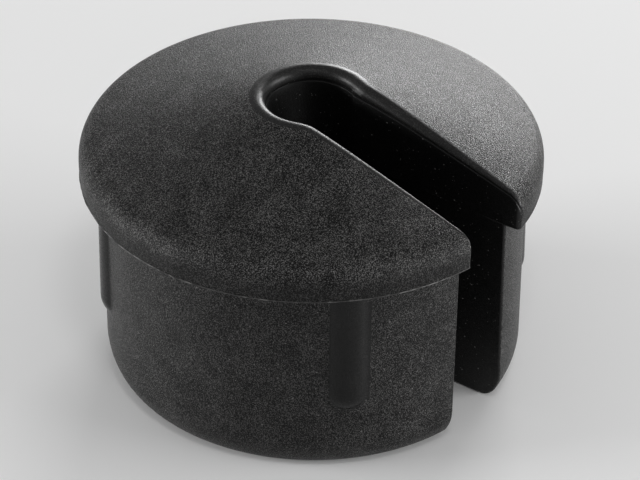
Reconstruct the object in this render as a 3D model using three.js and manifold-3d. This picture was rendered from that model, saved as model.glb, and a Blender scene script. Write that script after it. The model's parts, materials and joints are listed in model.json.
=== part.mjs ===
// Desk grommet with a cable slot: one injection moulding in black plastic.
// A shallow conical cap with an overhanging rim stands on a hollow plug. A keyhole slot runs from a
// round hole on the axis out through the rim, down the whole depth of cap and plug. Four crush ribs
// on the plug wedge it in the drilled hole.
//
// Millimetres, +Z up. The origin is on the axis, at the bottom of the plug. The slot opens to -Y.

import * as THREE from "three";
import { mergeVertices } from "three/addons/utils/BufferGeometryUtils.js";
import Module from "manifold-3d";

// Cap
const CAP_RADIUS = 19;
const RIM_HEIGHT = 1.6; // the upright part of the rim
const RIM_ROUNDING = 1.75; // between the rim and the cone
const CONE_SLOPE = THREE.MathUtils.degToRad(16.5);
const CAP_THICKNESS = 2.2;

// Plug
const PLUG_DEPTH = 18; // from the cap's underside, which rests on the desk, to the bottom
const PLUG_RADIUS = 17.4; // under the cap
const PLUG_DRAFT = THREE.MathUtils.degToRad(0.5);
const LEAD_IN = 1.9; // rounding of the bottom edge
const PLUG_WALL = 2.3;

// Keyhole slot
const SLOT_WIDTH = 6.5;
const HOLE_RADIUS = 3.6;
const LIP_ROUNDING = 0.9; // of the hole's upper edge
const SLOT_WALL = 1.9; // the channel that lines the slot inside the plug
const CAP_CORNER = 0.3; // rounding of the two corners of the slot's mouth, seen from above
const PLUG_CORNER = 0.3;

// Crush ribs: ball-nosed, so a rib is the part of an upright capsule that stands out of the plug
const RIB_WIDTH = 3.2;
const RIB_REACH = 17.8; // from the axis to a rib's crest
const RIB_LENGTH = 11.8; // down from the cap's underside
const RIB_ANGLES = [44, 131, -131, -44].map(THREE.MathUtils.degToRad); // from the slot, about the axis

const TURN_STEPS = 96; // facets around the axis
const CLEAR = 1; // how far a cutter runs past what it cuts

const SLOT_HALF = SLOT_WIDTH / 2;
const SEAT_Z = PLUG_DEPTH; // level of the cap's underside
const APEX_Z = apexHeight();

// ---- Profiles, as points (distance from the axis, height) ----

function apexHeight() {
  const roundingEnd = CAP_RADIUS - RIM_ROUNDING + RIM_ROUNDING * Math.sin(CONE_SLOPE);
  const roundingTop = SEAT_Z + RIM_HEIGHT + RIM_ROUNDING * Math.cos(CONE_SLOPE);
  return roundingTop + roundingEnd * Math.tan(CONE_SLOPE);
}

function coneHeight(radius) {
  return APEX_Z - radius * Math.tan(CONE_SLOPE);
}

function plugRadius(z) {
  return PLUG_RADIUS - (SEAT_Z - z) * Math.tan(PLUG_DRAFT);
}

// Points along an arc of a profile, both ends included.
function arc(centreX, centreY, radius, from, to, steps) {
  const points = [];
  for (let i = 0; i <= steps; i++) {
    const angle = from + ((to - from) * i) / steps;
    points.push(
      new THREE.Vector2(centreX + radius * Math.cos(angle), centreY + radius * Math.sin(angle)),
    );
  }
  return points;
}

function outerProfile() {
  const leadInCentre = plugRadius(LEAD_IN) - LEAD_IN;
  return [
    new THREE.Vector2(0, 0),
    ...arc(leadInCentre, LEAD_IN, LEAD_IN, -Math.PI / 2, 0, 6),
    new THREE.Vector2(PLUG_RADIUS, SEAT_Z),
    new THREE.Vector2(CAP_RADIUS, SEAT_Z),
    ...arc(
      CAP_RADIUS - RIM_ROUNDING,
      SEAT_Z + RIM_HEIGHT,
      RIM_ROUNDING,
      0,
      Math.PI / 2 - CONE_SLOPE,
      6,
    ),
    new THREE.Vector2(0, APEX_Z),
  ];
}

// The room inside the plug, up to a ceiling that keeps the cap's thickness.
function cavityProfile() {
  const drop = CAP_THICKNESS / Math.cos(CONE_SLOPE);
  const bottomRadius = plugRadius(0) - PLUG_WALL;
  const topRadius = bottomRadius - PLUG_DEPTH * Math.tan(PLUG_DRAFT);
  return [
    new THREE.Vector2(0, -CLEAR),
    new THREE.Vector2(bottomRadius, -CLEAR),
    new THREE.Vector2(topRadius, coneHeight(topRadius) - drop),
    new THREE.Vector2(0, APEX_Z - drop),
  ];
}

// What the rounding of the hole's upper edge takes away: the corner between the cone and the hole,
// outside an arc that is tangent to both.
function lipProfile() {
  const centreX = HOLE_RADIUS + LIP_ROUNDING;
  const centreY = coneHeight(centreX) - LIP_ROUNDING / Math.cos(CONE_SLOPE);
  const edge = arc(centreX, centreY, LIP_ROUNDING, Math.PI, Math.PI / 2 - CONE_SLOPE, 6);
  return [
    new THREE.Vector2(HOLE_RADIUS - CLEAR, centreY),
    ...edge,
    new THREE.Vector2(centreX, APEX_Z + CLEAR),
    new THREE.Vector2(HOLE_RADIUS - CLEAR, APEX_Z + CLEAR),
    new THREE.Vector2(HOLE_RADIUS - CLEAR, centreY),
  ];
}

// An upright capsule with a flat top at the cap's underside and a ball for its lower end.
function ribProfile() {
  const ballRadius = ribBallRadius();
  const ballCentre = SEAT_Z - RIB_LENGTH + RIB_WIDTH / 2;
  return [
    ...arc(0, ballCentre, ballRadius, -Math.PI / 2, 0, 12),
    new THREE.Vector2(ballRadius, SEAT_Z),
    new THREE.Vector2(0, SEAT_Z),
  ];
}

// The radius that makes a rib RIB_WIDTH wide where it leaves the plug, halfway down its length.
function ribBallRadius() {
  const height = RIB_REACH - plugRadius(SEAT_Z - RIB_LENGTH / 2);
  return (RIB_WIDTH ** 2 / 4 + height ** 2) / (2 * height);
}

// ---- Outlines seen from above ----

// A keyhole whose straight part leaves towards -Y, between walls at x = +-half.
function keyholeOutline(half, holeRadius, reach) {
  const neck = -Math.acos(half / holeRadius);
  const outline = new THREE.Shape();
  outline.moveTo(-half, -reach);
  outline.lineTo(half, -reach);
  outline.absarc(0, 0, holeRadius, neck, Math.PI - neck, false);
  outline.closePath();
  return outline;
}

// The same keyhole with its mouth widened, so that it rounds the corners between the slot's walls
// and a round body of the given radius.
function flaredKeyholeOutline(half, holeRadius, bodyRadius, corner) {
  const cornerX = half + corner;
  const cornerY = -Math.sqrt((bodyRadius - corner) ** 2 - cornerX ** 2);
  const outwards = Math.atan2(cornerY, cornerX);
  const mouthX = bodyRadius * Math.cos(outwards);
  const neck = -Math.acos(half / holeRadius);
  const reach = bodyRadius + CLEAR;
  const outline = new THREE.Shape();
  outline.moveTo(-mouthX, -reach);
  outline.lineTo(mouthX, -reach);
  outline.absarc(cornerX, cornerY, corner, outwards, -Math.PI, true);
  outline.absarc(0, 0, holeRadius, neck, Math.PI - neck, false);
  outline.absarc(-cornerX, cornerY, corner, 0, -Math.PI - outwards, true);
  outline.closePath();
  return outline;
}

// ---- Solids ----

const wasm = await Module();
wasm.setup();

function toSolid(geometry) {
  geometry.deleteAttribute("normal");
  geometry.deleteAttribute("uv");
  const merged = mergeVertices(geometry, 1e-4);
  return new wasm.Manifold(
    new wasm.Mesh({
      numProp: 3,
      vertProperties: new Float32Array(merged.attributes.position.array),
      triVerts: new Uint32Array(merged.index.array),
    }),
  );
}

function toGeometry(solid) {
  const mesh = solid.getMesh();
  const geometry = new THREE.BufferGeometry();
  geometry.setAttribute("position", new THREE.BufferAttribute(mesh.vertProperties, 3));
  geometry.setIndex(new THREE.BufferAttribute(mesh.triVerts, 1));
  geometry.computeVertexNormals();
  return geometry;
}

// A body of revolution about Z.
function turned(profile, steps) {
  const geometry = new THREE.LatheGeometry(profile, steps);
  geometry.rotateX(Math.PI / 2);
  return geometry;
}

function extruded(outline, bottom, top) {
  const geometry = new THREE.ExtrudeGeometry(outline, {
    depth: top - bottom,
    bevelEnabled: false,
    curveSegments: 12,
  });
  geometry.translate(0, 0, bottom);
  return geometry;
}

function withRibs(body) {
  const axisDistance = RIB_REACH - ribBallRadius();
  for (const angle of RIB_ANGLES) {
    const rib = turned(ribProfile(), 64);
    rib.translate(0, -axisDistance, 0);
    rib.rotateZ(angle);
    body = body.add(toSolid(rib));
  }
  return body;
}

// The cavity less the channel that lines the slot.
function pocket() {
  const channel = keyholeOutline(SLOT_HALF + SLOT_WALL, HOLE_RADIUS + SLOT_WALL, CAP_RADIUS);
  const cavity = toSolid(turned(cavityProfile(), TURN_STEPS));
  return cavity.subtract(toSolid(extruded(channel, -2 * CLEAR, APEX_Z)));
}

function withoutSlot(body) {
  const inCap = flaredKeyholeOutline(SLOT_HALF, HOLE_RADIUS, CAP_RADIUS, CAP_CORNER);
  const inPlug = flaredKeyholeOutline(SLOT_HALF, HOLE_RADIUS, PLUG_RADIUS, PLUG_CORNER);
  return body
    .subtract(toSolid(extruded(inCap, SEAT_Z - CLEAR / 2, APEX_Z + CLEAR)))
    .subtract(toSolid(extruded(inPlug, -CLEAR, SEAT_Z)))
    .subtract(toSolid(turned(lipProfile(), TURN_STEPS)));
}

function grommetMoulding() {
  const body = withRibs(toSolid(turned(outerProfile(), TURN_STEPS)));
  const plastic = new THREE.MeshStandardMaterial({
    color: 0x202021,
    roughness: 0.6,
    metalness: 0,
  });
  const mesh = new THREE.Mesh(toGeometry(withoutSlot(body.subtract(pocket()))), plastic);
  mesh.name = "grommet_moulding";
  return mesh;
}

const grommet = new THREE.Group();
grommet.add(grommetMoulding());

export default grommet;
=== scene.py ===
# Looks of a desk grommet: one injection moulding in black plastic, a shallow conical cap on a hollow
# plug, with a keyhole slot from the hole on its axis out through the rim.
#
# The moulding is one closed mesh. Its section at any level is a horseshoe, drawn as a loop that
# starts at the back of the hole, follows the slot's right wall to the mouth, turns the corner, runs
# along the rim to the back, and comes home along the left side. All loops have the same number of
# points, so the skin is a stack of loops: down the pocket inside the plug, across the bottom, up the
# outside and over the edges of the cap. Strips from hole to rim close the cap and the pocket's ceiling.
#
# Shapes are worked out in millimetres in the CAD frame, and become metres when the mesh is made.

import json
import math

import bpy
import numpy as np
from mathutils import Matrix, Vector


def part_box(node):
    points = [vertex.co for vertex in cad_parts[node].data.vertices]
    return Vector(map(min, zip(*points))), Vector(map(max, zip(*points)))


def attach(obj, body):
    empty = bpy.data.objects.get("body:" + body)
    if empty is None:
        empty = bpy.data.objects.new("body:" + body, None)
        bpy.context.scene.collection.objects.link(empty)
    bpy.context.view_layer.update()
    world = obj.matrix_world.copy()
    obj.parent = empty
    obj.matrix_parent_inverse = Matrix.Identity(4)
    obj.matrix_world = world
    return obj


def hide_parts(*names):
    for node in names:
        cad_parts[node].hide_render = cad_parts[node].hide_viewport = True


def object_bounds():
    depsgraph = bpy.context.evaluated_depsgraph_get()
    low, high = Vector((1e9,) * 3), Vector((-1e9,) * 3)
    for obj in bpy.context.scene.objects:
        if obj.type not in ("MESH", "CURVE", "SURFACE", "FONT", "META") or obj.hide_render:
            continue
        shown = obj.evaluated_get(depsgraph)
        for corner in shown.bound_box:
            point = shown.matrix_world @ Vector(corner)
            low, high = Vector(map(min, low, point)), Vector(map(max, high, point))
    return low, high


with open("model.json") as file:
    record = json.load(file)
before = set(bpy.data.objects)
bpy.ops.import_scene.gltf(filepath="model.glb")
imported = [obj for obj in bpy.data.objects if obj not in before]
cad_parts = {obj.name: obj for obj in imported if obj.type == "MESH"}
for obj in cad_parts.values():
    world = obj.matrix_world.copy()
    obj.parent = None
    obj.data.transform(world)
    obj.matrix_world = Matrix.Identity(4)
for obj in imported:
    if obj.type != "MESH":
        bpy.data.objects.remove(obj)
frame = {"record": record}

MM = 0.001
NODE = "grommet_moulding"
cad_low, cad_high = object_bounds()
mounts = {mount["name"]: mount for mount in frame["record"]["mounts"]}

# ---- Driving dimensions, in millimetres ----

# Cap
CAP_RADIUS = (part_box(NODE)[1] / MM).x
SEAT_Z = mounts["desk_seat"]["pos_m"][2] / MM  # level of the cap's underside
RIM_HEIGHT = 1.6  # the upright part of the rim
RIM_ROUNDING = 1.75  # between the rim and the cone
RIM_DRAFT = 0.07  # how much less the rim's radius is at its lower edge
CONE_SLOPE = math.radians(16.5)
CAP_THICKNESS = 2.2
CAP_CORNER = 0.35  # rounding of the slot's mouth, seen from above

# Plug
PLUG_RADIUS = 17.39  # under the cap
PLUG_DRAFT = math.radians(0.5)
PLUG_WALL = 2.3
PLUG_SHIFT = np.array([0.13, -0.17])  # from the cap's axis: the mould's halves don't quite meet
PLUG_CORNER = 0.2  # rounding of the slot's mouth in the plug
LEAD_IN_REACH = 1.95  # the rounding of the plug's lower end, inwards
LEAD_IN_HEIGHT = 2.9  # and upwards

# Keyhole slot
HOLE_RADIUS = 3.6
NECK_HALF = 3.02  # half the slot's width beside the hole; it widens slightly to the mouth
MOUTH_HALF = 3.2
PLUG_NARROWER = 0.2  # what half the mouth's width loses from the plug's bottom to its top
LIP_ROUNDING = 1.05  # of the hole's upper edge; it narrows along the slot
MOUTH_ROUNDING = 0.2  # of the slot's upper edges at the mouth
NECK_EASE = 0.5  # where the hole's edge passes into the slot's
CORNER_FADE = 0.999  # share of the edge's rounding that is lost round the mouth's corners
LEDGE = 0.18  # the wall's upper band stands back by this much beside the hole
LEDGE_AT_MOUTH = 0.12
LEDGE_ROUNDING = 0.06
BAND_AT_HOLE = 0.2  # height of that band
BAND_AT_SLOT = 0.1
BAND_FOOT = 0.01  # the band starts this far above the ledge, so that their rows keep apart
CHANNEL_HALF = 5.15  # from the slot's middle to the pocket
CHANNEL_RADIUS = 5.5  # from the hole's axis to the pocket

# Crush ribs, upright capsules let into the plug
RIB_WIDTH = 2.95
RIB_REACH = 17.9  # from the axis to a rib's crest
RIB_LENGTH = 11.8  # down from the cap's underside
RIB_ANGLES = np.radians([-42.8, 41, 139, 227.2])  # about the axis, from +X
RIB_CREASE = 0.03  # softness of the crease at a rib's foot
RIB_SIDE = 0.5  # radians to each side, more than any rib takes up

# Small edges
FLASH = 0.07  # ridge left by the mould's parting line
FLASH_HEIGHT = 0.1
POCKET_CORNER = 0.9  # rounding of the pocket, seen from below
POCKET_ROUNDING = 0.5  # between the pocket's walls and its ceiling
POCKET_EDGE = 0.1  # rounding of the pocket's lower edge
BOTTOM_ROUNDING = 0.25  # of the slot's lower edges
WALL_LAG = 0.04  # along the slot the seat's rows lie this far below the seat, and so keep apart

# Points of a half loop, and rows of the skin
HOLE_POINTS = 80
WALL_POINTS = 70
CORNER_POINTS = 15
POCKET_ROWS = 10
LEAD_IN_ROWS = 14
SIDE_ROWS = 56
WALL_ROWS = 8  # up the slot's wall to the ledge
BAND_ROWS = 6
EDGE_ROWS = 12  # over the cap's rounded edges
CAP_ROWS = 44  # across the cone
CEILING_ROWS = 16

rng = np.random.default_rng(7)


def smooth(value, start, end):
    """0 up to start, 1 from end on, with an easy passage between them."""
    share = np.clip((value - start) / (end - start), 0, 1)
    return share * share * (3 - 2 * share)


# ---- Profile of the cap, the plug and the ribs ----

NECK_Y = math.sqrt((HOLE_RADIUS + LEDGE) ** 2 - (NECK_HALF + LEDGE) ** 2)
RIM_CENTRE = CAP_RADIUS - RIM_ROUNDING
RIM_FOOT = CAP_RADIUS - RIM_DRAFT
RIM_END = RIM_CENTRE + RIM_ROUNDING * math.sin(CONE_SLOPE)
RIM_END_Z = SEAT_Z + RIM_HEIGHT + RIM_ROUNDING * math.cos(CONE_SLOPE)


def cone_height(radius):
    return RIM_END_Z + (RIM_END - radius) * math.tan(CONE_SLOPE)


def rim_height(radius):
    """Height on the rim's rounding, an arc that is tangent to the cone."""
    centre_z = RIM_END_Z - RIM_ROUNDING * math.cos(CONE_SLOPE)
    return centre_z + np.sqrt(np.maximum(RIM_ROUNDING**2 - (radius - RIM_CENTRE) ** 2, 0))


def turned_height(radius):
    """The cap's upper surface before the keyhole is cut: cone and rounded rim."""
    return np.where(radius > RIM_END, rim_height(radius), cone_height(radius))


def mouth_corner(radius, half, corner):
    """Centre of the rounding between a slot wall and the rim, and the angle where the rim starts."""
    x = half + corner
    y = -math.sqrt((radius - corner) ** 2 - x**2)
    return np.array([x, y]), math.atan2(y, x)


def keyhole_distance(x, y):
    """Distance from the keyhole's wall at its upper edge, eased at the neck."""
    along = np.clip((-y - NECK_Y) / (CAP_RADIUS - NECK_Y), 0, 1)
    wall = NECK_HALF + LEDGE + along * (MOUTH_HALF + LEDGE_AT_MOUTH - NECK_HALF - LEDGE)
    from_hole = np.hypot(x, y) - HOLE_RADIUS - LEDGE
    from_slot = np.hypot(np.maximum(np.abs(x) - wall, 0), np.maximum(y, 0))
    ease = np.maximum(NECK_EASE - np.abs(from_hole - from_slot), 0) / NECK_EASE
    return np.minimum(from_hole, from_slot) - ease**2 * NECK_EASE / 4


def keyhole_edge_drop(x, y):
    """How far the rounding of the keyhole's upper edge lowers the cap. It narrows from the hole to the
    mouth, and dies out round the mouth's corners."""
    centre, rim_start = mouth_corner(CAP_RADIUS, MOUTH_HALF + LEDGE_AT_MOUTH, CAP_CORNER)
    distance = keyhole_distance(x, y)
    rounding = LIP_ROUNDING + (MOUTH_ROUNDING - LIP_ROUNDING) * np.clip(-y / CAP_RADIUS, 0, 1)
    out_x, out_y = np.abs(x) - centre[0], y - centre[1]
    turn = np.arctan2(-out_y, -out_x) / (rim_start + math.pi)
    in_corner = (turn > 0) & (turn < 1)
    distance = np.where(in_corner, CAP_CORNER - np.hypot(out_x, out_y), distance)
    rounding = np.where(in_corner, rounding * (1 - CORNER_FADE * smooth(turn, 0, 1)), rounding)
    into = np.clip(rounding - distance, 0, rounding)
    return rounding - np.sqrt(np.maximum(rounding**2 - into**2, 0))


def cap_height(plan):
    x, y = plan[:, 0], plan[:, 1]
    return turned_height(np.hypot(x, y)) - keyhole_edge_drop(x, y)


def ceiling_height(plan):
    return cone_height(np.hypot(plan[:, 0], plan[:, 1])) - CAP_THICKNESS / math.cos(CONE_SLOPE)


def plug_radius(z):
    """The drafted side, and the rounded lead-in at the bottom."""
    lead_in = np.clip(1 - z / LEAD_IN_HEIGHT, 0, 1)
    drafted = PLUG_RADIUS - (SEAT_Z - z) * math.tan(PLUG_DRAFT)
    return drafted - LEAD_IN_REACH * (1 - np.sqrt(1 - lead_in**2))


def rib_rise(angle, z):
    """How far the nearest crush rib stands out of the plug, with a soft crease at the rib's foot."""
    height = RIB_REACH - plug_radius(SEAT_Z - RIB_LENGTH / 2)
    ball = (RIB_WIDTH**2 / 4 + height**2) / (2 * height)
    axis = RIB_REACH - ball
    below = max(SEAT_Z - RIB_LENGTH + RIB_WIDTH / 2 - z, 0)
    rise = np.full(len(angle), -1.0)
    for rib in RIB_ANGLES:
        off = (angle - rib + math.pi) % (2 * math.pi) - math.pi
        room = ball**2 - below**2 - (axis * np.sin(off)) ** 2
        reach = axis * np.cos(off) + np.sqrt(np.maximum(room, 0))
        rise = np.where((np.abs(off) < RIB_SIDE) & (room > 0), reach - plug_radius(z), rise)
    return (rise + np.sqrt(rise**2 + RIB_CREASE**2)) / 2


# ---- Loops ----

MOUTH_ANGLE = math.radians(-77)  # about where the rim starts, to space its points
NECK_ANGLE = math.radians(-18)  # of the rim's point that faces the keyhole's neck
BACK_ANGLE = math.radians(90)


def spread(count, density):
    """Shares over 0 and up to 1, closer together where the density is high."""
    along = np.linspace(0, 1, 2001)
    total = np.concatenate([[0], np.cumsum(density(along[1:]))])
    return np.interp(np.arange(1, count + 1) / count, total / total[-1], along)


def crowd(offset, reach):
    """1 within reach of an offset of 0, and 0 outside it, with an easy passage."""
    return np.exp(-((offset / reach) ** 6))


def wall_density(share):
    """More points of the slot's wall fall near the neck and near the mouth."""
    return 1 + 3 * np.exp(-share / 0.1) + 2 * np.exp((share - 1) / 0.05)


def rim_density(start, end):
    """More points of the rim fall on the crush ribs."""
    rib_reach = 0.113  # radians, a little more than half a rib

    def density(share):
        angle = start + share * (end - start)
        return 1 + 2.4 * sum(crowd(angle - rib, rib_reach) for rib in RIB_ANGLES)

    return density


def side_density(share):
    """More rows of the plug's side fall on the ribs' lower ends."""
    rib_end = SEAT_Z - RIB_LENGTH + RIB_WIDTH / 4
    return 1 + 4 * crowd(LEAD_IN_HEIGHT + share * SIDE_HEIGHT - rib_end, 1.2)


HOLE_SHARES = spread(HOLE_POINTS, np.ones_like)
WALL_SHARES = spread(WALL_POINTS, wall_density)
CORNER_SHARES = np.arange(1, CORNER_POINTS) / (CORNER_POINTS - 1)
MOUTH_SHARES = spread(WALL_POINTS, rim_density(MOUTH_ANGLE, NECK_ANGLE))
BACK_SHARES = spread(HOLE_POINTS, rim_density(NECK_ANGLE, BACK_ANGLE))
SIDE_HEIGHT = SEAT_Z - 0.05 - LEAD_IN_HEIGHT  # from the lead-in to 0.05 below the cap
SIDE_SHARES = spread(SIDE_ROWS, side_density)


def whole(half_loop, mirror=1):
    """A loop from its right half; the left half is the same, times the mirror."""
    return np.concatenate([half_loop, half_loop[-2:0:-1] * mirror])


# 0 along the keyhole, 1 along the rim, and a passage between them at the corner
RIMNESS = whole(np.concatenate([
    np.zeros(1 + HOLE_POINTS + WALL_POINTS),
    smooth(CORNER_SHARES, 0, 1),
    np.ones(WALL_POINTS + HOLE_POINTS),
]))
LOOP_POINTS = len(RIMNESS)
HALF_POINTS = LOOP_POINTS // 2 + 1
CORNER_MIDDLE = (HALF_POINTS - 1) // 2


def arc(radius, angles):
    return np.stack([radius * np.cos(angles), radius * np.sin(angles)], axis=1)


def horseshoe(radius, neck_half, mouth_half, hole, corner):
    """Plan of a loop, from the rim's radius, half the slot's width at its two ends, the hole's radius
    and the rounding of the mouth's corners."""
    centre, rim_start = mouth_corner(radius, mouth_half, corner)
    neck = -math.acos(neck_half / hole)
    neck_point = hole * np.array([math.cos(neck), math.sin(neck)])
    mouth_point = np.array([mouth_half, centre[1]])
    right = np.concatenate([
        arc(hole, np.array([BACK_ANGLE])),
        arc(hole, BACK_ANGLE + HOLE_SHARES * (neck - BACK_ANGLE)),
        neck_point + WALL_SHARES[:, None] * (mouth_point - neck_point),
        centre + arc(corner, -math.pi + CORNER_SHARES * (rim_start + math.pi)),
        arc(radius, rim_start + MOUTH_SHARES * (NECK_ANGLE - rim_start)),
        arc(radius, NECK_ANGLE + BACK_SHARES * (BACK_ANGLE - NECK_ANGLE)),
    ])
    return whole(right, (-1, 1))


def raised(plan, wall_z, rim_z):
    """A loop in space, with one height along the keyhole and another along the rim."""
    z = wall_z + (rim_z - wall_z) * RIMNESS
    return np.column_stack([plan, z])


def quarter(rows):
    """Angles over a quarter turn, for an edge rounded in that many rows."""
    return np.linspace(0, math.pi / 2, rows + 1)


# ---- The skin, from the pocket's ceiling to the top of the cap ----


def pocket_plan(z, inset):
    """The pocket's walls lean inwards as they rise; the inset moves them further in."""
    radius = PLUG_RADIUS - (SEAT_Z + z) * math.tan(PLUG_DRAFT) - PLUG_WALL - inset
    half = CHANNEL_HALF + inset
    return horseshoe(radius, half, half, CHANNEL_RADIUS + inset, POCKET_CORNER - inset)


def pocket_loops():
    """From the ceiling down to the bottom of the plug."""
    loops = []
    for angle in quarter(5):
        inset = POCKET_ROUNDING * (1 - math.sin(angle))
        plan = pocket_plan(SEAT_Z, inset)
        z = ceiling_height(plan) - POCKET_ROUNDING * (1 - math.cos(angle))
        loops.append(np.column_stack([plan, z]))
    top = loops[-1][:, 2]
    for share in np.linspace(1 / POCKET_ROWS, 1, POCKET_ROWS):
        z = top + share * (POCKET_EDGE - top)
        loops.append(np.column_stack([pocket_plan(SEAT_Z * (1 - share), 0), z]))
    for angle in quarter(3)[1:]:
        plan = pocket_plan(0, -POCKET_EDGE * (1 - math.cos(angle)))
        z = POCKET_EDGE * (1 - math.sin(angle))
        loops.append(raised(plan, z, z))
    return loops


def plug_plan(z):
    """The plug's outline with its ribs; the slot widens at the bottom, where its edges are rounded."""
    edge = np.clip(1 - z / BOTTOM_ROUNDING, 0, 1)
    chamfer = BOTTOM_ROUNDING * (1 - math.sqrt(1 - edge**2))
    neck = NECK_HALF + chamfer
    mouth = MOUTH_HALF + chamfer - PLUG_NARROWER * z / SEAT_Z
    plan = horseshoe(plug_radius(z), neck, mouth, HOLE_RADIUS + chamfer, PLUG_CORNER)
    rise = rib_rise(np.arctan2(plan[:, 1], plan[:, 0]), z) * (RIMNESS == 1)
    return plan * (1 + rise / np.hypot(plan[:, 0], plan[:, 1]))[:, None] + PLUG_SHIFT


def plug_loops():
    """From the bottom up to just below the cap."""
    levels = np.concatenate([
        LEAD_IN_HEIGHT * (1 - np.cos(quarter(LEAD_IN_ROWS))),
        LEAD_IN_HEIGHT + SIDE_SHARES * SIDE_HEIGHT,
    ])
    return [raised(plug_plan(z), z, z) for z in levels]


def uneven(width):
    """A random factor from 0 to 1 along a loop, smoothed over that many points."""
    noise = rng.normal(size=LOOP_POINTS)
    wave = np.convolve(np.tile(noise, 3), np.hanning(width), "same")[LOOP_POINTS:2 * LOOP_POINTS]
    return np.clip(0.5 + 0.3 * wave / wave.std(), 0, 1)


def seat_loops():
    """The cap's underside, from the plug out to the rim's foot."""
    loops = [raised(plug_plan(SEAT_Z), SEAT_Z - WALL_LAG, SEAT_Z)]
    for share in (0.55, 0.8, 1):
        radius = PLUG_RADIUS + share * (RIM_FOOT - PLUG_RADIUS)
        corner = PLUG_CORNER + share * (CAP_CORNER - PLUG_CORNER)
        mouth = MOUTH_HALF - PLUG_NARROWER * (1 - share)
        plan = horseshoe(radius, NECK_HALF, mouth, HOLE_RADIUS, corner) + (1 - share) * PLUG_SHIFT
        loops.append(raised(plan, SEAT_Z - WALL_LAG * (1 - share), SEAT_Z))
    return loops


def flash_loops():
    """The thin uneven ridge that the mould's parting line leaves along the cap's lower edge. It stands
    out half as far into the slot as round the rim."""
    foot = horseshoe(RIM_FOOT, NECK_HALF, MOUTH_HALF, HOLE_RADIUS, CAP_CORNER)
    grown = horseshoe(RIM_FOOT + 1, NECK_HALF - 1, MOUTH_HALF - 1, HOLE_RADIUS - 1, CAP_CORNER)
    outwards = grown - foot
    length = np.hypot(outwards[:, 0], outwards[:, 1])
    outwards *= (np.where(RIMNESS > 0.5, 1, 0.5) / length)[:, None]
    reach = (FLASH * (0.35 + 0.65 * uneven(9)))[:, None]
    loops = []
    for share, level in ((1, 0.2), (1, 0.6), (0, 1)):
        z = SEAT_Z + level * FLASH_HEIGHT
        loops.append(raised(foot + share * reach * outwards, z, z))
    return loops


def band_height(plan):
    """Height of the smooth band at the top of the slot's wall."""
    along_slot = smooth(np.hypot(plan[:, 0], plan[:, 1]), HOLE_RADIUS, 2 * HOLE_RADIUS)
    return BAND_AT_HOLE + (BAND_AT_SLOT - BAND_AT_HOLE) * along_slot


def cap_plan(back, radius=CAP_RADIUS):
    """Plan of the cap: its keyhole is the wall's where back is 0, and the band's over the ledge where
    back is 1."""
    neck = NECK_HALF + back * LEDGE
    mouth = MOUTH_HALF + back * LEDGE_AT_MOUTH
    return horseshoe(radius, neck, mouth, HOLE_RADIUS + back * LEDGE, CAP_CORNER)


def wall_steps():
    """Rows of the slot's wall: the share of the way from the parting line to the ledge, the share of
    the way from the ledge to the top, how far back over the ledge, and the lift from the ledge."""
    steps = [(share, 0, 0, -LEDGE_ROUNDING) for share in np.linspace(1 / WALL_ROWS, 1, WALL_ROWS)]
    for angle in quarter(3)[1:]:
        back = LEDGE_ROUNDING / LEDGE * (1 - math.cos(angle))
        steps.append((1, 0, back, LEDGE_ROUNDING * (math.sin(angle) - 1)))
    return steps + [(1, share, 1, BAND_FOOT) for share in np.linspace(0, 1, BAND_ROWS)]


def wall_loops():
    """The slot's wall from the parting line up, with its ledge, and the upright part of the rim."""
    top_z = cap_height(cap_plan(1))
    foot_z = SEAT_Z + FLASH_HEIGHT
    ledge_z = top_z - band_height(cap_plan(1))
    steps = wall_steps()
    loops = []
    for row, (below, above, back, lift) in enumerate(steps):
        share = (row + 1) / len(steps)
        radius = CAP_RADIUS - RIM_DRAFT * (1 - smooth(share, 0, 0.7))
        to_ledge = foot_z + below * (ledge_z + lift - foot_z)
        wall_z = to_ledge + above * (top_z - to_ledge)
        loops.append(raised(cap_plan(back, radius), wall_z, foot_z + share * (top_z - foot_z)))
    return loops


def cap_edge_loops():
    """Over the rounded edges of hole, slot and rim, to where the cone begins."""
    outer = cap_plan(1)
    inner = horseshoe(
        RIM_END,
        NECK_HALF + LEDGE + LIP_ROUNDING,
        MOUTH_HALF + LEDGE_AT_MOUTH + 2 * MOUTH_ROUNDING,
        HOLE_RADIUS + LEDGE + 1.2 * LIP_ROUNDING,
        CAP_CORNER / 3,
    )
    loops = []
    for angle in quarter(EDGE_ROWS)[1:]:
        plan = outer + (1 - math.cos(angle)) * (inner - outer)
        loops.append(np.column_stack([plan, cap_height(plan)]))
    return loops


def loop_quads(count):
    """Faces between neighbouring loops of a stack, as rows of quads."""
    row = np.arange(count - 1)[:, None] * LOOP_POINTS
    here = np.arange(LOOP_POINTS)
    after = (here + 1) % LOOP_POINTS
    above = row + LOOP_POINTS
    return np.stack([row + here, row + after, above + after, above + here], axis=-1)


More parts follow.
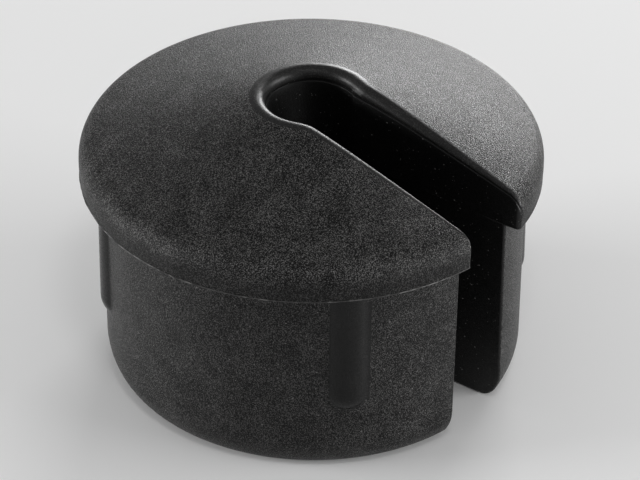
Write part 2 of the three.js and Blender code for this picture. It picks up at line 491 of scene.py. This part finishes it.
def closing(loop, first, start, rows, height):
    """Closes a loop by strips from keyhole to rim, one for each pair of facing points. Gives the new
    points, whose numbers begin at start, and the faces, looking up; first is the loop's own number."""
    columns = np.arange(1 - CORNER_MIDDLE, CORNER_MIDDLE)
    near, far = columns % LOOP_POINTS, HALF_POINTS - 1 - columns
    shares = np.linspace(0, 1, rows + 2)[1:-1, None, None]
    plan = (loop[near, :2] + shares * (loop[far, :2] - loop[near, :2])).reshape(-1, 2)
    new = start + np.arange(len(plan)).reshape(rows, -1)
    grid = np.vstack([first + near, new, first + far])
    right, left = first + CORNER_MIDDLE, first + LOOP_POINTS - CORNER_MIDDLE
    quads = np.stack([grid[:-1, :-1], grid[:-1, 1:], grid[1:, 1:], grid[1:, :-1]], axis=-1)
    faces = quads.reshape(-1, 4).tolist()
    faces += [[a, right, b] for a, b in zip(grid[:-1, -1].tolist(), grid[1:, -1].tolist())]
    faces += [[left, a, b] for a, b in zip(grid[:-1, 0].tolist(), grid[1:, 0].tolist())]
    return np.column_stack([plan, height(plan)]), faces


# ---- The mesh ----

STAGES = [  # in the order of the skin, with the finish of the keyhole's side and of the rim's side
    (pocket_loops(), "pocket", "pocket"),
    (plug_loops(), "slot", "plug"),
    (seat_loops(), "slot", "cap"),
    (flash_loops(), "slot", "flash"),
    (wall_loops(), "slot", "cap"),
    (cap_edge_loops(), "lip", "cap"),
]
FINISHES = ["cap", "lip", "flash", "plug", "rib", "slot", "pocket"]


def quad_finishes(centres):
    """The number of each quad's finish; the quads that stand out of the plug's side are ribs."""
    sides = []
    for stage, keyhole, rim in STAGES:
        sides += [[FINISHES.index(keyhole), FINISHES.index(rim)]] * len(stage)
    finish = np.array(sides)[1:][:, (RIMNESS > 0.5).astype(int)]
    from_axis = centres[..., :2] - PLUG_SHIFT
    proud = np.hypot(from_axis[..., 0], from_axis[..., 1]) - plug_radius(centres[..., 2])
    finish[(finish == FINISHES.index("plug")) & (proud > RIB_CREASE)] = FINISHES.index("rib")
    return finish


def skin():
    """Points, faces and the number of each face's finish."""
    loops = [loop for stage, _, _ in STAGES for loop in stage]
    points = np.concatenate(loops)
    quads = loop_quads(len(loops))
    finish = quad_finishes(points[quads].mean(axis=2))
    faces = quads.reshape(-1, 4).tolist()

    ceiling, ceiling_faces = closing(loops[0], 0, len(points), CEILING_ROWS, ceiling_height)
    last = (len(loops) - 1) * LOOP_POINTS
    cap, cap_faces = closing(loops[-1], last, len(points) + len(ceiling), CAP_ROWS, cap_height)
    faces += [face[::-1] for face in ceiling_faces] + cap_faces
    numbers = np.concatenate([
        finish.ravel(),
        np.full(len(ceiling_faces), FINISHES.index("pocket")),
        np.full(len(cap_faces), FINISHES.index("cap")),
    ])
    return np.concatenate([points, ceiling, cap]), faces, numbers


def make_moulding():
    points, faces, numbers = skin()
    mesh = bpy.data.meshes.new("grommet_body")
    mesh.from_pydata((points * MM).tolist(), [], faces)
    mesh.polygons.foreach_set("material_index", numbers.astype(np.int32))
    mesh.polygons.foreach_set("use_smooth", np.ones(len(faces), bool))
    mesh.set_sharp_from_angle(angle=math.radians(40))
    moulding = bpy.data.objects.new("grommet_body", mesh)
    bpy.context.scene.collection.objects.link(moulding)
    return moulding


# ---- Materials ----


class Nodes:
    """A material's node tree, with short ways to add nodes to it. Textures read object coordinates,
    in millimetres."""

    def __init__(self, name):
        self.material = bpy.data.materials.new(name)
        self.material.use_nodes = True
        self.tree = self.material.node_tree
        self.tree.nodes.clear()
        in_metres = self.add("ShaderNodeTexCoord").outputs["Object"]
        self.place = self.stretched(in_metres, (1 / MM, 1 / MM, 1 / MM))

    def add(self, kind, inputs=None, **settings):
        node = self.tree.nodes.new(kind)
        for name, value in settings.items():
            setattr(node, name, value)
        for key, value in (inputs or {}).items():
            if isinstance(value, bpy.types.NodeSocket):
                self.tree.links.new(value, node.inputs[key])
            else:
                node.inputs[key].default_value = value
        return node

    def combine(self, operation, first, second):
        """Two values added or multiplied, or the greater of the two."""
        return self.add("ShaderNodeMath", {0: first, 1: second}, operation=operation).outputs[0]

    def stretched(self, place, factors):
        """A place, with each of its coordinates times a factor."""
        inputs = {0: place, 1: factors}
        return self.add("ShaderNodeVectorMath", inputs, operation="MULTIPLY").outputs[0]

    def noise(self, per_mm, detail=2.0, roughness=0.5, place=None):
        """Noise whose features are about one millimetre over per_mm across."""
        inputs = {
            "Vector": place or self.place,
            "Scale": per_mm,
            "Detail": detail,
            "Roughness": roughness,
        }
        return self.add("ShaderNodeTexNoise", inputs).outputs["Fac"]

    def specks(self, cell, size):
        """1 on sparse dots, 0 between them: cell and radius in millimetres."""
        inputs = {"Vector": self.place, "Scale": 1 / cell, "Randomness": 1.0}
        near = self.add("ShaderNodeTexVoronoi", inputs).outputs["Distance"]
        return self.ramp(near, 0.6 * size / cell, size / cell, 1.0, 0.0)

    def ramp(self, value, low_in, high_in, low_out=0.0, high_out=1.0):
        """An easy passage from one value to another."""
        inputs = {0: value, 1: low_in, 2: high_in, 3: low_out, 4: high_out}
        return self.add("ShaderNodeMapRange", inputs, interpolation_type="SMOOTHSTEP").outputs[0]

    def mix(self, factor, first, second):
        """A mix of two colours, which the node takes at its inputs 6 and 7."""
        return self.add("ShaderNodeMix", {0: factor, 6: first, 7: second}, data_type="RGBA").outputs[2]

    def height(self):
        return self.add("ShaderNodeSeparateXYZ", {0: self.place}).outputs["Z"]

    def bump(self, height, depth, after=None):
        """Relief of the given depth in millimetres, on top of the relief given in after."""
        inputs = {"Height": height, "Strength": 1.0, "Distance": depth * MM}
        if after is not None:
            inputs["Normal"] = after
        return self.add("ShaderNodeBump", inputs).outputs["Normal"]

    def surface(self, colour, roughness, specular, normal):
        """The finished material."""
        shader = self.add("ShaderNodeBsdfPrincipled", {
            "Base Color": colour,
            "Roughness": roughness,
            "Specular IOR Level": specular,
            "Normal": normal,
        })
        self.add("ShaderNodeOutputMaterial", {"Surface": shader.outputs[0]})
        return self.material


def grey(level):
    """A grey that is very slightly warm."""
    return (level, 0.985 * level, 0.97 * level, 1)


# Heights between which the grain and its painted glints grow from BARE_GRAIN of their strength to all
# of it; fewer glints low on the rim paint its side darker, as painted shade
GRAIN_STARTS = SEAT_Z + 0.8
GRAIN_FULL = SEAT_Z + 3.4
BARE_GRAIN = 0.35

# Tool marks: how often they repeat to the millimetre along each axis
DOWN = (5, 5, 0.2)
ACROSS = (0.6, 0.6, 6)

ROUGHNESS_SPREAD = 0.08  # of the roughness, between the grain's highs and its lows


def grain_level(n, pits, grain):
    """How high the surface stands where the grain is uneven over millimetres as well; its highest spots
    are coloured light as painted glints.
    """
    patches = n.noise(0.45, detail=2, roughness=0.6)
    crumbs = n.noise(0.35 / grain, detail=1)
    uneven_part = n.combine("MULTIPLY", n.combine("ADD", patches, crumbs), 0.14)
    return n.combine("ADD", pits, uneven_part)


def moulded(name, *, grain, depth, roughness, specular, dark, light, fades=False, marks=None,
            marks_depth=0.008, dust=0.0):
    """Black plastic with the mould's spark-eroded grain: its size and depth in millimetres, the mean
    roughness, the grey of its lows, and light, the grey of the painted glints on its high spots. The
    grain and its painted glints weaken down the rim where it fades, which paints the rim's side darker
    as painted shade; marks gives the direction of tool marks; dust is the grey of specks that cling to
    the surface."""
    n = Nodes(name)
    pits = n.noise(1 / grain, detail=1.5, roughness=0.7)
    # The grain's high spots take the light grey: painted glints, standing in for the glints of the
    # grain's facets.
    grain_painted_glints = n.ramp(grain_level(n, pits, grain), 0.59, 0.85)
    relief = pits
    # The grain and its painted glints thin out down the rim: painted shade on the rim's side.
    if fades:
        strength = n.ramp(n.height(), GRAIN_STARTS, GRAIN_FULL, BARE_GRAIN, 1.0)
        grain_painted_glints = n.combine("MULTIPLY", grain_painted_glints, strength)
        relief = n.combine("MULTIPLY", pits, strength)
    colour = n.mix(grain_painted_glints, grey(dark), grey(light))
    if dust:
        specks = n.combine("MAXIMUM", n.specks(0.9, 0.07), n.specks(0.4, 0.04))
        colour = n.mix(specks, colour, grey(dust))
    rough = n.ramp(pits, 0.3, 0.7, roughness + ROUGHNESS_SPREAD, roughness - ROUGHNESS_SPREAD)
    normal = n.bump(relief, depth)
    if marks:
        scored = n.noise(1, detail=3, place=n.stretched(n.place, marks))
        normal = n.bump(scored, marks_depth, normal)
    return n.surface(colour, rough, specular, normal)


def make_materials():
    return {
        # light is the grey of the painted glints on the grain's high spots; the cap's and the plug's
        # are far lighter than the plastic itself.
        "cap": moulded(
            "cap_grain_painted_glints", grain=0.1, depth=0.11, roughness=0.43, specular=0.135,
            dark=0.0005, light=0.135, fades=True,
        ),
        "lip": moulded(
            "lip_polish", grain=0.12, depth=0.02, roughness=0.42, specular=0.3,
            dark=0.004, light=0.03,
        ),
        # The parting-line ridge is coloured lighter than the plastic: a painted highlight along the
        # cap's lower edge.
        "flash": moulded(
            "flash_painted_highlight", grain=0.9, depth=0.02, roughness=0.5, specular=0.2,
            dark=0.03, light=0.13,
        ),
        "plug": moulded(
            "plug_grain_painted_glints", grain=0.09, depth=0.05, roughness=0.38, specular=0.14,
            dark=0.001, light=0.075, marks=DOWN, dust=0.12,
        ),
        "rib": moulded(
            "rib_marks", grain=0.1, depth=0.015, roughness=0.27, specular=0.22,
            dark=0.0005, light=0.01, marks=ACROSS, marks_depth=0.012,
        ),
        # The slot's walls are a much darker copy of the same plastic: painted shade in the recess, with
        # real dust specks on it.
        "slot": moulded(
            "slot_wall_painted_shade", grain=0.12, depth=0.04, roughness=0.45, specular=0.3,
            dark=0.0005, light=0.006, dust=0.2,
        ),
        "pocket": moulded(
            "pocket_wall", grain=0.12, depth=0.02, roughness=0.5, specular=0.1,
            dark=0.002, light=0.01, marks=DOWN,
        ),
    }


def paper(name, level, roughness):
    """A pale matt surface, very slightly cloudy."""
    n = Nodes(name)
    darker = 0.985 * level
    tint = n.mix(n.noise(0.02, detail=1), (level, level, level, 1), (darker, darker, darker, 1))
    return n.surface(tint, roughness, 0.2, n.bump(n.noise(1.5), 0.002))


# ---- Floor, lights and camera ----

# Lengths are in metres here, and angles in degrees unless they are converted
CENTRE = (cad_low + cad_high) / 2
AIM = CENTRE + Vector((-0.00221, -0.00282, 0.00059))  # what the camera looks at
CAMERA_AZIMUTH = -52.4
CAMERA_ELEVATION = 34.92
CAMERA_ROLL = math.radians(0.33)
CAMERA_DISTANCE = 0.34407
CAMERA_LENS = 236.3  # millimetres
LIGHT_DISTANCE = 0.5


def direction(azimuth, elevation):
    a, e = math.radians(azimuth), math.radians(elevation)
    return Vector((math.sin(a) * math.cos(e), -math.cos(a) * math.cos(e), math.sin(e)))


FLOOR_HALF = 3.0
FLOOR_GAP = 0.00002  # below the plug, so that the two surfaces don't coincide


def make_floor():
    half = FLOOR_HALF
    z = cad_low.z - FLOOR_GAP
    corners = [(-half, -half, z), (half, -half, z), (half, half, z), (-half, half, z)]
    mesh = bpy.data.meshes.new("floor")
    mesh.from_pydata(corners, [], [(0, 1, 2, 3)])
    mesh.materials.append(paper("floor_paper", level=0.92, roughness=0.7))
    floor = bpy.data.objects.new("floor", mesh)
    bpy.context.scene.collection.objects.link(floor)


def softbox(name, side, elevation, width, height, watts):
    """A soft light; side is its angle from the camera about the object, in degrees to the right."""
    light = bpy.data.lights.new(name, "AREA")
    light.shape = "RECTANGLE"
    light.size, light.size_y = width, height
    light.energy = watts
    box = bpy.data.objects.new(name, light)
    back = direction(CAMERA_AZIMUTH + side, elevation)
    box.location = CENTRE + LIGHT_DISTANCE * back
    box.rotation_euler = back.to_track_quat("Z", "Y").to_euler()
    bpy.context.scene.collection.objects.link(box)


def make_world(brightness):
    world = bpy.data.worlds.new("studio")
    bpy.context.scene.world = world
    world.use_nodes = True
    background = world.node_tree.nodes["Background"]
    background.inputs["Color"].default_value = (1, 1, 1, 1)
    background.inputs["Strength"].default_value = brightness


def make_camera():
    lens = bpy.data.cameras.new("camera")
    lens.lens, lens.sensor_width = CAMERA_LENS, 36
    lens.clip_start, lens.clip_end = 0.01, 10
    camera = bpy.data.objects.new("camera", lens)
    back = direction(CAMERA_AZIMUTH, CAMERA_ELEVATION)
    turn = back.to_track_quat("Z", "Y").to_matrix() @ Matrix.Rotation(CAMERA_ROLL, 3, "Z")
    camera.matrix_world = Matrix.Translation(AIM + CAMERA_DISTANCE * back) @ turn.to_4x4()
    bpy.context.scene.collection.objects.link(camera)
    bpy.context.scene.camera = camera


moulding = make_moulding()
materials = make_materials()
for finish_name in FINISHES:
    moulding.data.materials.append(materials[finish_name])
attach(moulding, "root")
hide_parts(NODE)

make_floor()
make_world(brightness=0.34)
softbox("right_light", side=80, elevation=4, width=0.35, height=0.15, watts=3.6)
softbox("back_light", side=163, elevation=7, width=0.25, height=0.15, watts=2.15)
softbox("left_light", side=-88, elevation=6, width=0.25, height=0.15, watts=2.8)
softbox("front_light", side=10, elevation=62, width=0.08, height=0.08, watts=0.22)
make_camera()
bpy.context.scene.view_settings.view_transform = "Standard"
